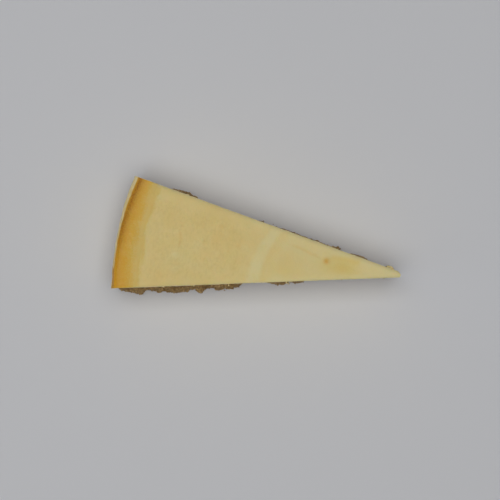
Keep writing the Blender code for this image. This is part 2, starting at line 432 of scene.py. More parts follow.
# %% The grid over the top
ROWS, COLUMNS, LEVELS = 300, 90, 80
ROW_CROWDING, COLUMN_CROWDING, LEVEL_CROWDING = 1.15, 1.3, 1.25
CHEESE_FLOOR = 5.6 * MM
EDGE_WEAR, WEAR_REACH = 0.42 * MM, 0.85 * MM

row_share = np.linspace(0, 1, ROWS + 1) ** ROW_CROWDING
even = np.linspace(-1, 1, COLUMNS + 1)
column_turn = np.sign(even) * (1 - (1 - np.abs(even)) ** COLUMN_CROWDING) * HALF_ANGLE


def distance_at(share, turn, height):
    """The distance of a row, which is a share of the way from the wall to the tip."""
    rim = wall_distance(turn, height)
    return rim + (tip_distance(turn, height) - rim) * share


def edge_wear(along):
    """How much of the knife's edge is worn away, this far along it."""
    line = np.stack((along, along * 0, along * 0), axis=1)
    return EDGE_WEAR * (1 + ripples(line, (0.7, 3.5, 71), (0.4, 1.1, 72)))


grid_share, grid_turn = (part.ravel() for part in np.meshgrid(row_share, column_turn, indexing="ij"))
grid_distance = distance_at(grid_share, grid_turn, CAKE_HEIGHT)
top_points = place(grid_distance, grid_turn, top_height(grid_distance, grid_turn))
top_points[:, 2] += top_relief(top_points)
to_cut = grid_distance * np.sin(HALF_ANGLE - np.abs(grid_turn))
wear = edge_wear(grid_distance + 0.3 * np.sign(grid_turn))
top_points[:, 2] -= wear * np.exp(-to_cut / WEAR_REACH)
print("top grid:", len(top_points), "points")

# %% [markdown]
# The rings follow the border of the grid down to the floor. Each ring keeps its share of the height, so
# the uneven top edge fades out on the way down. `outward` is the direction in which each border point
# may be pushed: square to its cut, or away from the cake's middle on the outer wall.

# %% The rings down the sides


def border_of(rows, columns):
    """Row and column numbers round the grid, anticlockwise from above."""
    row = np.concatenate((
        np.arange(rows), np.full(columns, rows), np.arange(rows, 0, -1), np.zeros(columns, int),
    ))
    column = np.concatenate((
        np.zeros(rows, int), np.arange(columns), np.full(rows, columns), np.arange(columns, 0, -1),
    ))
    return row, column


border_row, border_column = border_of(ROWS, COLUMNS)
border = border_row * (COLUMNS + 1) + border_column
border_share, border_turn = row_share[border_row], column_turn[border_column]
on_low_cut, on_high_cut = border_column == 0, border_column == COLUMNS
on_wall, on_tip = border_row == 0, border_row == ROWS
on_outer = on_wall & ~on_low_cut & ~on_high_cut
out_x = np.where(on_low_cut | on_high_cut, math.sin(HALF_ANGLE), 0.0)
out_y = np.where(on_low_cut, -math.cos(HALF_ANGLE), np.where(on_high_cut, math.cos(HALF_ANGLE), 0.0))
out_x = out_x + np.where(on_wall, -np.cos(border_turn), 0.0) + np.where(on_tip, 1.0, 0.0)
out_y = out_y + np.where(on_wall, np.sin(border_turn), 0.0)
outward = np.stack((out_x, out_y, out_x * 0), axis=1)
outward /= np.linalg.norm(outward, axis=1)[:, None]

border_top = top_points[border]
rings = [border_top]
for share in 1 - (np.arange(1, LEVELS + 1) / LEVELS) ** LEVEL_CROWDING:
    height = CHEESE_FLOOR + share * (border_top[:, 2] - CHEESE_FLOOR)
    rings.append(place(distance_at(border_share, border_turn, height), border_turn, height))
wall_points = np.concatenate(rings)
print("side rings:", len(rings), "of", len(border), "points")

# %% [markdown]
# Now the rings get their relief. It dies away at the upright corners, and in the last bit under the top
# edge, where the worn edge takes over. Here and there the knife pushed a small lip of cheese out over
# the -Y edge, or broke a notch out of it.

# %% Push the sides in and out
# Distance from the rim along the -Y cut, how far it stands out, and half its width, in millimetres
LIPS = ((33.3, 0.60, 0.45), (36.4, 0.25, 0.5), (48.9, 0.50, 0.35), (18.2, -0.45, 0.4))
# How far the outer wall bulges under the rim, in millimetres, at turns in degrees
SWELL_TURNS = (-11.0, -8.0, -6.0, 1.0, 6.0, 11.0)
SWELL = (0.35, 0.3, 0.1, 0.15, 0.4, 0.3)


def all_rings(values):
    """A value for each border point, repeated down every ring."""
    return np.tile(values, (LEVELS + 1,) + (1,) * (values.ndim - 1))


wall_turn = all_rings(border_turn)
wall_height = wall_points[:, 2]
below_edge = all_rings(border_top[:, 2]) - wall_height
reach = np.hypot(MEETING_POINT[0] - wall_points[:, 0], wall_points[:, 1] - MEETING_POINT[1])
from_rim_along = wall_distance(wall_turn, CAKE_HEIGHT) - reach

push = np.zeros(len(wall_points))
for on_cut, side in ((on_low_cut, -1), (on_high_cut, 1)):
    here = all_rings(on_cut)
    push[here] = cut_relief(from_rim_along[here] + 3 * MM, wall_height[here], side)
here = all_rings(on_outer)
arc = (wall_turn + HALF_ANGLE) * CAKE_RADIUS
push[here] = outer_relief(arc[here], wall_height[here])
push *= eased(from_rim_along / (1.5 * MM)) * ~here + here * eased((HALF_ANGLE - np.abs(wall_turn)) * 90)
push *= 0.25 + 0.75 * eased(below_edge / (0.8 * MM))
on_a_cut = all_rings(on_low_cut | on_high_cut)
push -= on_a_cut * edge_wear(reach + 0.3 * np.sign(wall_turn)) * np.exp(-below_edge / WEAR_REACH)
for lip_at, lip_out, lip_half in LIPS:
    near = bell(from_rim_along / MM - lip_at, lip_half)
    push += all_rings(on_low_cut) * lip_out * MM * near * np.exp(-below_edge / (1.0 * MM))
wall_points = wall_points + all_rings(outward) * push[:, None]
swell = np.interp(np.degrees(wall_turn), SWELL_TURNS, SWELL) * MM * eased(below_edge / (2.2 * MM))
swell *= np.exp(-np.maximum(from_rim_along, 0) / (2 * MM)) * ~all_rings(on_tip)
swell *= eased((wall_height - base_high[2]) / (12 * MM))
wall_points[:, 0] -= swell * np.cos(wall_turn)
wall_points[:, 1] += swell * np.sin(wall_turn)
print("relief of the sides, mm:", round(push.min() / MM, 2), "to", round(push.max() / MM, 2))

# %% [markdown]
# The border of the top is also the first ring of the sides, so both are joined there with no seam.

# %% Join the top and the sides
SHARP_CUT = math.radians(60)  # edges more bent than this aren't smoothed over

top_count, ring_size = len(top_points), len(border)
top_points[border] = wall_points[:ring_size]
cheese_points = np.concatenate((top_points, wall_points[ring_size:]))
ring_numbers = [border] + [top_count + k * ring_size + np.arange(ring_size) for k in range(LEVELS)]

cells = (np.arange(ROWS)[:, None] * (COLUMNS + 1) + np.arange(COLUMNS)).ravel()
faces = [np.stack((cells, cells + COLUMNS + 1, cells + COLUMNS + 2, cells + 1), axis=1)]
for upper, lower in zip(ring_numbers, ring_numbers[1:]):
    faces.append(np.stack((upper, lower, np.roll(lower, -1), np.roll(upper, -1)), axis=1))
faces = np.concatenate(faces).tolist() + [ring_numbers[-1][::-1].tolist()]


def mesh_piece(name, points, faces):
    """A smooth-shaded mesh object in the scene."""
    data = bpy.data.meshes.new(name)
    data.from_pydata(points.tolist(), [], faces)
    data.shade_smooth()
    return put_in_scene(name, data)


def keep_mask(piece, name, values):
    """A number for each point of the mesh, for the material to read."""
    layer = piece.data.attributes.new(name, "FLOAT", "POINT")
    layer.data.foreach_set("value", np.ascontiguousarray(values, np.float32))
    print("mask", name, "mean", round(float(np.mean(values)), 3))


cheese_body = mesh_piece("cheese_body", cheese_points, faces)
cheese_body.data.set_sharp_from_angle(angle=SHARP_CUT)
print("cheese_body:", len(cheese_points), "points,", 2 * len(faces), "triangles")

# %% [markdown]
# ## Masks for colour
#
# Colour follows the same marks as the relief: the rim is brown where the oven reached it, the hollow is
# golden, the stripe is pale. It would be hard to aim node noise at such places, so each mark is kept on
# the mesh as a number from 0 to 1 at every point. The material then turns these numbers into colour.
#
# The rim's masks come first. `browned` falls off inwards and wavers at the ring. `burnt` is the dark
# line along the edge, which is strong on the +Y half and faint at the -Y corner. `toasted` is a ragged
# brown patch on the outer wall, under that corner.

# %% Masks of the rim
BROWN_REACH = 12.0  # millimetres from the rim to the plain skin
DARK_LINE_INSIDE, DARK_LINE_INSIDE_HIGH = 0.3, 0.60  # from the rim, at the middle and towards +Y
DARK_LINE_WIDTH, DARK_LINE_OUTER_WIDTH = 1.65, 1.1
# Strength of the dark line at turns from the middle line, in degrees
BURNT_TURNS = (-11.0, -9.0, -5.5, -2.0, 2.0, 11.0)
BURNT_STRENGTH = (0.20, 0.25, 0.35, 0.70, 0.88, 0.90)

spots = top_map(cheese_points)
turns = turn_of(spots)
turn_degrees = np.degrees(turns)
low_gap, high_gap, rim_gap = gaps(spots)
cut_gap = np.maximum(np.minimum(low_gap, high_gap), 0)
is_top = np.arange(len(cheese_points)) < top_count
depth = np.zeros(len(cheese_points))
depth[top_count:] = below_edge[ring_size:] / MM
is_wall = np.zeros(len(cheese_points), bool)
is_wall[top_count:] = all_rings(on_outer)[ring_size:]
is_cut = ~is_top & ~is_wall
flat = cheese_points * (1, 1, 0)

inward = np.maximum(rim_gap - DARK_LINE_INSIDE, 0)
wander = ripples(flat, (0.5, 9, 81), (0.7, 3, 82), (0.7, 1.1, 84)) * eased(rim_gap / 3)
browned = 1 - (inward + wander) * RING_FROM_RIM / ring_distance(turns) / BROWN_REACH
browned += 0.10 * bell(rim_gap - 9.5, 2.5) * ring_wrinkles(spots)
browned = np.clip(browned, 0, 1) * bell(depth, 0.8)
burnt = np.interp(turn_degrees, BURNT_TURNS, BURNT_STRENGTH)
past_line = rim_gap - np.interp(turn_degrees, (2.0, 5.0), (DARK_LINE_INSIDE, DARK_LINE_INSIDE_HIGH))
line_width = np.where(past_line > 0, DARK_LINE_WIDTH, DARK_LINE_OUTER_WIDTH)
burnt *= bell(past_line, line_width, 1.5) * bell(depth, 0.6)
dots = np.clip(2.5 * ripple(cheese_points, 0.8 * MM, 83), 0, 1) * bell(high_gap, 0.5)
burnt = np.maximum(burnt, 0.45 * dots * (1 - eased((rim_gap - 4) / 8)) * (depth < 1.2))
burnt = np.maximum(burnt, 0.9 * bell(rim_gap, 1.0) * bell(high_gap, 1.2) * (depth < 1))
near_wall = is_wall | (is_cut & (rim_gap < 0.9))
ragged = ripples(cheese_points, (1.3, 4, 86), (0.7, 1.5, 87))
toasted = near_wall * eased((-5.2 - turn_degrees + 1.5 * ragged) / 3.2)
toasted *= bell(depth, 4.5 + 2.5 * ragged)
for mask_name, values in (("browned", browned), ("burnt", burnt), ("toasted", toasted)):
    keep_mask(cheese_body, mask_name, values)

# %% [markdown]
# The skin gets paler towards the tip, along the stripe and at the knife's edges. The other marks are
# soft spots: golden, brown or warm, and painted shade in the pits, along the +Y cut and on the knife
# edges.

# %% Masks of the skin
PALENESS_BACK = (15.0, 40.0, 60.0, 75.0)
PALENESS = (0.9, 0.5, 0.5, 0.0)

pale = np.interp(spots[:, 0], PALENESS_BACK, PALENESS)
stripe = past_stripe(spots)
pale = np.maximum(pale, 1.1 * bell(stripe, STRIPE_HALF, 3))
# Painted shade: a darker band on the slope just on the tip side of the pale stripe
pale -= 0.35 * bell(stripe + 4.6, 1.8)
pale += 0.45 * bell(cut_gap, 1.8) * (1 - eased((spots[:, 0] - 78) / 12))
pale += 0.6 * sum(patch(spots, centre, half) for centre, half in PALE_MARKS)
golden = patch(spots, GOLDEN, GOLDEN_HALF) + 0.45 * patch(spots, YELLOW_PATCH, YELLOW_HALF)
golden += 0.5 * bell(way_from_line(spots, GOLDEN_EDGE), 1.2)
brown_marks = 0.9 * patch(spots, SPOT, 1.35)
brown_marks += 0.16 * sum(patch(spots, centre, half) for centre, half in BROWNISH)
fading = eased((spots[:, 0] - 39) / 4) * (1 - eased((spots[:, 0] - 50) / 6))
brown_marks += 0.19 * fading * bell(way_from_line(spots, WRINKLE), 0.7)
brown_marks += 0.2 * bell(way_from_line(spots, DARK_STREAK), 0.6)
warm = sum(patch(spots, centre, half) for centre, half in WARM)
# Painted shade: the pits are darker inside, and so is a band along the +Y cut
pit_shade = 0.5 * dents(spots, pit_places, pit_radii) + dents(spots, LARGE_PITS, LARGE_PIT_RADII)
high_cut_shade = bell(high_gap - 1.6, 1.6) * eased((spots[:, 0] - 70) / 10)
# Painted shade on the rounded knife edges, more on the +Y cut, fading where the rim is browned
cut_edge_shade = (0.72 * bell(high_gap, 1.0) + 0.45 * bell(low_gap, 0.5)) * (depth < 0.5)
cut_edge_shade *= 1 - eased((browned - 0.1) / 0.4)
for mask_name, values in (
    ("pale", np.clip(pale, 0, 1.2)), ("golden", golden), ("brown_marks", brown_marks), ("warm", warm),
    ("pitted", pitted(spots)), ("pit_shade", pit_shade + 0.25 * high_cut_shade), ("cut_edge_shade", cut_edge_shade),
):
    keep_mask(cheese_body, mask_name, values * is_top)

# %% [markdown]
# On the cut sides one sees the inside of the cake. The skin shows as a thin tan line along the top, and
# down the outer wall. The curd is denser and yellower near the wall and the base, where it baked first,
# and just above the crumbs it is moist and stained by them. Open bubbles get painted shade inside.

# %% Masks of the sides
height_mm = cheese_points[:, 2] / MM
cut_sheet = sheet_points(spots[:, 0] * MM, cheese_points[:, 2])
inside = is_cut * eased((depth - 0.15) / 0.6)
outer = is_wall * eased((depth - 0.2) / 0.9)
skin_line = is_cut * bell(depth, 0.75) * (0.35 + 0.65 * np.clip(browned * 2, 0, 1))
skin_line = np.maximum(skin_line, is_cut * bell(rim_gap, 1.3) * (height_mm > 7))
dense = np.exp(-np.maximum(rim_gap, 0) / 6)
dense += 0.7 * np.exp(-((height_mm - 7) / 3.5)) + 0.3 * np.exp(-depth / 2)
stain_top = 6.9 + ripples(cut_sheet, (0.5, 6, 95), (0.4, 1.3, 96))
stained = 1 - eased((height_mm - stain_top) / 1.5)
# Painted shade inside the bubbles that the knife opened
bubble_shade = np.zeros(len(cheese_points))
wall_along = np.stack((from_rim_along + 3 * MM, wall_height), axis=1)[ring_size:]
for on_cut, side in ((on_low_cut, -1), (on_high_cut, 1)):
    here = all_rings(on_cut)[ring_size:]
    where = np.flatnonzero(here) + top_count
    bubble_shade[where] = dents(wall_along[here], *cut_bubbles(side))
for mask_name, values in (
    ("inside", inside), ("outer", outer), ("skin_line", skin_line),
    ("dense", np.clip(dense, 0, 1) * ~is_top), ("stained", stained * ~is_top),
    ("bubble_shade", bubble_shade),
):
    keep_mask(cheese_body, mask_name, values)

# %% [markdown]
# ## The cheese's finish
#
# Baked cheese is dense and a little translucent, so light sinks in and softens it: the material is a
# Principled shader with some subsurface scattering. A small `Recipe` class keeps the node work
# readable: each of its methods adds one node, links it, and hands back its output.

# %% A short way to write node materials


class Recipe:
    """A material's nodes, added and linked in few words."""

    def __init__(self, name):
        self.material = bpy.data.materials.new(name)
        self.material.use_nodes = True
        self.tree = self.material.node_tree
        self.shader = self.tree.nodes["Principled BSDF"]
        self.where = self.tree.nodes.new("ShaderNodeTexCoord").outputs["Object"]

    def add(self, kind, inputs=(), **settings):
        """A node with these settings, its inputs given by name as numbers or as other outputs."""
        node = self.tree.nodes.new("ShaderNode" + kind)
        for name, value in settings.items():
            setattr(node, name, value)
        for name, value in dict(inputs).items():
            self.feed(node.inputs[name], value)
        return node

    def feed(self, socket, value):
        """Links another node's output to the socket, or sets a plain value."""
        if isinstance(value, bpy.types.NodeSocket):
            self.tree.links.new(value, socket)
        else:
            socket.default_value = value

    def mask(self, name):
        """A number kept on the mesh by keep_mask."""
        return self.add("Attribute", attribute_name=name).outputs["Fac"]

    def speckle(self, size, detail=3.0, roughness=0.55, stretch=(1, 1, 1)):
        """Noise around 0.5, with blotches about this wide, drawn out along some axes by stretch."""
        place = self.where
        if stretch != (1, 1, 1):
            shrink = tuple(1 / factor for factor in stretch)
            place = self.add("Mapping", {"Vector": place, "Scale": shrink}).outputs["Vector"]
        inputs = {"Vector": place, "Scale": 1 / size, "Detail": detail, "Roughness": roughness}
        return self.add("TexNoise", inputs).outputs["Fac"]

    def sum(self, first, second, scale=1.0):
        """first + second * scale"""
        node = self.add("Math", operation="MULTIPLY_ADD")
        self.feed(node.inputs[0], second)
        self.feed(node.inputs[1], scale)
        self.feed(node.inputs[2], first)
        return node.outputs[0]

    def product(self, first, second):
        node = self.add("Math", operation="MULTIPLY")
        self.feed(node.inputs[0], first)
        self.feed(node.inputs[1], second)
        return node.outputs[0]

    def ramp(self, value, stops):
        """Colours at places from 0 to 1."""
        node = self.add("ValToRGB", {"Fac": value})
        node.color_ramp.elements[0].position = stops[0][0]
        node.color_ramp.elements[1].position = stops[-1][0]
        for position, _ in stops[1:-1]:
            node.color_ramp.elements.new(position)
        for element, (_, colour) in zip(node.color_ramp.elements, stops):
            element.color = (*colour, 1.0)
        return node.outputs["Color"]

    def mix(self, share, first, second, how="MIX"):
        """Colours mixed by a share from 0 to 1."""
        node = self.add("Mix", data_type="RGBA", blend_type=how, clamp_factor=True)
        for number, value in ((0, share), (6, first), (7, second)):
            if isinstance(value, tuple):
                value = (*value, 1.0)
            self.feed(node.inputs[number], value)
        return node.outputs[2]

    def paint(self, under, mask_name, colour, strength=1.0):
        """A colour laid over another one where a mask of the mesh says."""
        return self.mix(self.product(self.mask(mask_name), strength), under, colour)

    def tint(self, under, shades, share=1.0):
        """A colour darkened or lightened by shades around 1."""
        return self.mix(share, under, shades, "MULTIPLY")

    def cells(self, size, place):
        """How far each place is from the middle of its cell, and a random value for each cell."""
        node = self.add("TexVoronoi", {"Vector": place, "Scale": 1 / size})
        value = self.add("SeparateColor", {"Color": node.outputs["Color"]}).outputs["Red"]
        return node.outputs["Distance"], value

    def range(self, value, low, high, start=0.0, end=1.0):
        """The value between start and end, spread from low to high and held there."""
        inputs = {"Value": value, "From Min": start, "From Max": end, "To Min": low, "To Max": high}
        return self.add("MapRange", inputs).outputs["Result"]

    def bump(self, height, depth, under=None):
        """Fine relief of this depth in metres, over other relief."""
        inputs = {"Height": height, "Distance": depth}
        if under is not None:
            inputs["Normal"] = under
        return self.add("Bump", inputs).outputs["Normal"]

    def set(self, **values):
        """The shader's own inputs, by name with _ for a space."""
        for name, value in values.items():
            self.feed(self.shader.inputs[name.replace("_", " ")], value)


# %% [markdown]
# Colours are given as they would be measured on the food, from 0 to 1 for red, green and blue. The
# browning runs from plain skin to toffee brown, with a flat part where the ring is. It never gets very
# red: milk sugar browns through gold and ochre first.

# %% Colours of the cheese
PLAIN = (0.789, 0.620, 0.240)
PALE = (0.790, 0.682, 0.322)
GOLD = (0.790, 0.590, 0.160)
SPOT_BROWN = (0.75, 0.43, 0.065)
WARM_SKIN = (0.800, 0.600, 0.215)
PIT_SHADE = (0.68, 0.52, 0.18)
# The colour of the painted shade on the rounded knife edges
CUT_EDGE_SHADE = (0.58, 0.48, 0.235)
BURNT_BROWN = (0.39, 0.15, 0.006)
TOAST = (0.53, 0.255, 0.030)
CREAM = (0.90, 0.765, 0.45)
DENSE_CREAM = (0.88, 0.705, 0.35)
WALL_SKIN = (0.85, 0.70, 0.345)
WALL_TAN = (0.80, 0.62, 0.265)
TAN_LINE = (0.74, 0.53, 0.20)
# The colour of the painted shade inside bubbles and pores
POCKET_SHADE = (0.66, 0.50, 0.22)
STAIN = (0.52, 0.38, 0.17)
BROWNING = (
    (0.0, PLAIN), (0.067, (0.770, 0.600, 0.210)), (0.108, (0.761, 0.570, 0.173)),
    (0.15, (0.752, 0.540, 0.142)), (0.29, (0.752, 0.540, 0.150)), (0.358, (0.752, 0.514, 0.122)),
    (0.433, (0.745, 0.490, 0.092)), (0.5, (0.745, 0.468, 0.064)), (0.575, (0.745, 0.445, 0.043)),
    (0.717, (0.742, 0.406, 0.022)), (1.0, (0.735, 0.385, 0.012)),
)

# Shades around 1 that a noise between about 0.3 and 0.7 picks
MOTTLE = ((0.36, (0.942, 0.933, 0.90)), (0.5, (0.99, 0.985, 0.97)), (0.64, (1.01, 1.01, 1.0)))
DRIFT = ((0.35, (0.985, 0.970, 0.93)), (0.5, (1.0, 1.0, 1.0)), (0.65, (0.975, 1.0, 1.03)))
CURDLED = ((0.34, (0.95, 0.925, 0.86)), (0.6, (1.0, 1.0, 1.0)))
STREAKED = ((0.38, (0.96, 0.94, 0.89)), (0.6, (1.02, 1.02, 1.02)))
CURD_GLOW = (1.0, 0.55, 0.25)  # how far red, green and blue light spreads inside, against each other

cheese = Recipe("baked_cheese")
blotch = cheese.speckle(3.0 * MM)
grain = cheese.speckle(0.7 * MM, detail=4.0)
wide = cheese.speckle(16 * MM, detail=2.0)
across = cheese.speckle(0.9 * MM, detail=3.0, stretch=(1, 1.8, 1))

baking = cheese.mask("browned")
freckles = cheese.speckle(0.55 * MM, detail=2.0)
baking = cheese.sum(baking, cheese.product(baking, cheese.sum(freckles, -0.5)), 0.9)
skin = cheese.ramp(baking, BROWNING)
for mask_name, colour, strength in (
    ("pale", PALE, 1.0), ("golden", GOLD, 0.85), ("warm", WARM_SKIN, 0.6),
    ("brown_marks", SPOT_BROWN, 1.0), ("pit_shade", PIT_SHADE, 0.30),
    ("burnt", BURNT_BROWN, cheese.range(freckles, 0.62, 1.26, 0.35, 0.65)),
):
    skin = cheese.paint(skin, mask_name, colour, strength)
skin = cheese.tint(skin, cheese.ramp(across, MOTTLE), cheese.range(cheese.mask("pitted"), 0.2, 0.7))
skin = cheese.tint(skin, cheese.ramp(wide, DRIFT))
# Painted shade on the rounded knife edges
skin = cheese.paint(skin, "cut_edge_shade", CUT_EDGE_SHADE)
print("skin uses", len(cheese.tree.nodes), "nodes so far")

# %% [markdown]
# The sides are layered over the skin: the wall's skin with its toasted patch, then the curd, the tan
# line, painted shade in open bubbles and fine pores, and the stain above the crumbs. Streaks in the curd
# are drawn out upwards, as the knife left them. The sides are a little duller than the top, which has a
# faint buttery shine.

# %% Colours of the sides, and gloss
streaks = cheese.speckle(1.3 * MM, detail=3.0, stretch=(1, 1, 8))
curdle = cheese.speckle(1.6 * MM, detail=5.0, roughness=0.65)
wall_colour = cheese.mix(cheese.range(blotch, 0.0, 1.0, 0.35, 0.7), WALL_SKIN, WALL_TAN)
curd = cheese.mix(cheese.mask("dense"), CREAM, DENSE_CREAM)
curd = cheese.tint(curd, cheese.ramp(curdle, CURDLED))
curd = cheese.tint(curd, cheese.ramp(streaks, STREAKED), cheese.range(wide, 0.0, 0.6, 0.45, 0.6))
for mask_name, colour, strength in (
    ("outer", wall_colour, 1.0), ("toasted", TOAST, cheese.range(blotch, 0.9, 1.1, 0.3, 0.7)),
    ("inside", curd, 1.0), ("skin_line", TAN_LINE, 0.7), ("bubble_shade", POCKET_SHADE, 0.28),
):
    skin = cheese.paint(skin, mask_name, colour, strength)
to_middle, chosen = cheese.cells(1.5 * MM, cheese.where)
pores = cheese.range(cheese.sum(to_middle, cheese.sum(curdle, -0.5), 0.5), 1.0, 0.0, 0.05, 0.21)
pores = cheese.product(pores, cheese.range(chosen, 0.0, 1.0, 0.45, 0.95))
pores = cheese.product(pores, cheese.mask("inside"))
# Painted shade inside the fine pores
skin = cheese.mix(cheese.product(pores, 0.30), skin, POCKET_SHADE)
skin = cheese.paint(skin, "stained", STAIN, cheese.range(grain, 0.35, 0.75, 0.35, 0.65))

dimples = cheese.bump(grain, 0.10 * MM)
torn = cheese.product(curdle, cheese.range(cheese.mask("inside"), 0.25, 1.0))
torn_grain = cheese.bump(torn, 0.22 * MM, dimples)
pricked = cheese.bump(cheese.sum(1.0, pores, -1.0), 0.25 * MM, torn_grain)
grit = cheese.bump(cheese.speckle(0.28 * MM, detail=2.0), 0.045 * MM, pricked)
gloss = cheese.range(blotch, 0.44, 0.60, 0.3, 0.7)
for mask_name, duller in (("inside", 0.12), ("outer", 0.30), ("burnt", 0.20)):
    gloss = cheese.sum(gloss, cheese.mask(mask_name), duller)
cheese.set(Base_Color=skin, Roughness=gloss, Normal=grit, Subsurface_Weight=0.35,
           Subsurface_Radius=CURD_GLOW, Subsurface_Scale=2.5 * MM, IOR=1.42)
cheese_body.data.materials.append(cheese.material)
print("baked_cheese has", len(cheese.tree.nodes), "nodes")

# %% [markdown]
# ## Biscuit crumbs
#
# The base is crushed biscuit pressed flat with butter. It could be a slab with a bumpy material, but a
# crumb edge is seen in outline, so the crumbs are real shapes here. A crumb is a small ball flattened
# by a few random planes, which gives broken faces.

# %% Crumb shapes


def ball(subdivisions):
    """Points and faces of a small round ball of radius 1."""
    mesh = bmesh.new()
    bmesh.ops.create_icosphere(mesh, subdivisions=subdivisions, radius=1.0)
    points = np.array([v.co[:] for v in mesh.verts])
    faces = np.array([[v.index for v in f.verts] for f in mesh.faces])
    mesh.free()
    return points, faces


def random_directions(generator, count):
    """Directions of length 1, spread evenly."""
    directions = generator.normal(size=(count, 3))
    return directions / np.linalg.norm(directions, axis=1)[:, None]


def crumbs(generator, centres, radii, subdivisions, planes=6, stretch=(0.7, 1.25)):
    """Points and faces of many crumbs, each a ball cut flat by random planes."""
    round_points, round_faces = ball(subdivisions)
    shapes = np.repeat(round_points[None], len(centres), axis=0)
    shapes *= generator.uniform(*stretch, (len(centres), 1, 3))
    for _ in range(planes):
        facing = random_directions(generator, len(centres))[:, None, :]
        limit = generator.uniform(0.4, 0.8, (len(centres), 1))
        over = np.maximum((shapes * facing).sum(axis=2) - limit, 0.0)
        shapes -= over[:, :, None] * facing
    points = shapes * np.asarray(radii)[:, None, None] + np.asarray(centres)[:, None, :]
    offsets = np.arange(len(centres))[:, None, None] * len(round_points)
    return points.reshape(-1, 3), (round_faces[None] + offsets).reshape(-1, 3)


def numbers_of(items, name, kind=float):
    """Three numbers for each element of a mesh, as an array."""
    numbers = np.empty(len(items) * 3, kind)
    items.foreach_get(name, numbers)
    return numbers.reshape(-1, 3)


def triangles_of(piece):
    """Points, triangles, and each triangle's normal and area."""
    data = piece.data
    data.calc_loop_triangles()
    points = numbers_of(data.vertices, "co")
    corners = numbers_of(data.loop_triangles, "vertices", int)
    a, b, c = (points[corners[:, k]] for k in range(3))
    across = np.cross(b - a, c - a)
    area = np.linalg.norm(across, axis=1) / 2
    return points, corners, across / np.maximum(2 * area, 1e-12)[:, None], area


def beside_cut(side):
    """The turn of a cut, and the direction square to it and away from the slice."""
    return side * HALF_ANGLE, np.array((math.sin(HALF_ANGLE), side * math.cos(HALF_ANGLE), 0.0))


print("a crumb has", len(ball(1)[1]), "or", len(ball(2)[1]), "triangles")

# %% [markdown]
# ## The crumb base
#
# The core is a copy of the solid base, drawn in by 0.3 mm. Thousands of crumbs are dropped on its
# sides, up to the ledge that stands out past the cheese, each sunk by part of its own radius so that
# its face shows. Where the solid has a lump, the crumbs follow it. One more row of crumbs lies along
# the foot of the cheese, so the line between the layers isn't ruled straight.

# %% Lay out the crumbs
CORE_DRAW_IN = 0.30 * MM
SIDE_CRUMBS, SEAM_CRUMBS = 5600, 900
CRUMB_LEAST, CRUMB_MOST = 0.26 * MM, 0.95 * MM

base_points, base_triangles, base_normals, base_area = triangles_of(frame["nodes"]["biscuit_base"])
middle = base_points[base_triangles].mean(axis=1)
weight = base_area * ((np.abs(base_normals[:, 2]) < 0.93) & (middle[:, 2] > 0.2 * MM))


def spots_on_sides(generator, count):
    """Random places on the sides of the base, and the direction that each of them faces."""
    picked = generator.choice(len(base_area), count, p=weight / weight.sum())
    shares = generator.dirichlet((1, 1, 1), count)
    return (base_points[base_triangles[picked]] * shares[:, :, None]).sum(axis=1), base_normals[picked]


dice = np.random.default_rng(77)
crumb_at, crumb_facing = spots_on_sides(dice, SIDE_CRUMBS)
crumb_radius = mostly_small(dice, CRUMB_LEAST, CRUMB_MOST, SIDE_CRUMBS, 2.8)
crumb_at -= crumb_facing * (crumb_radius * dice.uniform(0.55, 0.95, SIDE_CRUMBS))[:, None]
crumb_at[:, 2] = np.clip(crumb_at[:, 2], crumb_radius * 0.5, base_high[2] - crumb_radius * 0.3)

seam_side = dice.choice((-1, 1), SEAM_CRUMBS)
seam_distance = dice.uniform(TIP_LOSS, wall_distance(0.0, 0.0), SEAM_CRUMBS)
seam_height = base_high[2] + dice.uniform(-0.75, 0.0, SEAM_CRUMBS) * MM
seam_at = place(np.minimum(seam_distance, wall_distance(seam_side * HALF_ANGLE, 0.0) - MM),
                seam_side * HALF_ANGLE, seam_height)
away = np.stack([beside_cut(side)[1] for side in seam_side])
seam_at -= away * dice.uniform(0.0, 0.25, SEAM_CRUMBS)[:, None] * MM
seam_radius = dice.uniform(0.32, 0.6, SEAM_CRUMBS) * MM
print("crumbs in the base:", SIDE_CRUMBS + SEAM_CRUMBS)
print("mean radius of those on the sides, mm:", round(crumb_radius.mean() / MM, 2))

# %% [markdown]
# A voxel remesh melts core and crumbs into one skin. It spends most of its faces on the hidden top and
# on the flat underside, so those are cut away and closed with one large face each.

# %% Melt them into one skin
VOXEL = 0.27 * MM
UNDER_CHEESE, OVER_TABLE = 1.6, 2.2  # millimetres inside the outline where faces are hidden

core_normals = np.zeros_like(base_points)
for corner in range(3):
    np.add.at(core_normals, base_triangles[:, corner], base_normals * base_area[:, None])
core_normals[:, 2] = 0.0
core_normals /= np.maximum(np.linalg.norm(core_normals, axis=1), 1e-9)[:, None]
core_points = base_points - core_normals * CORE_DRAW_IN
lump_points, lump_faces = crumbs(
    dice, np.concatenate((crumb_at, seam_at)), np.concatenate((crumb_radius, seam_radius)), 1)
joined = mesh_piece(
    "crumb_mass", np.concatenate((core_points, lump_points)),
    np.concatenate((base_triangles, lump_faces + len(core_points))).tolist(),
)
melt = joined.modifiers.new("melt", "REMESH")
melt.mode = "VOXEL"
melt.voxel_size = VOXEL
melted = joined.evaluated_get(bpy.context.evaluated_depsgraph_get())
crust_mesh = bpy.data.meshes.new_from_object(melted)
bpy.data.objects.remove(joined, do_unlink=True)
crust_mesh.name = "biscuit_crust"

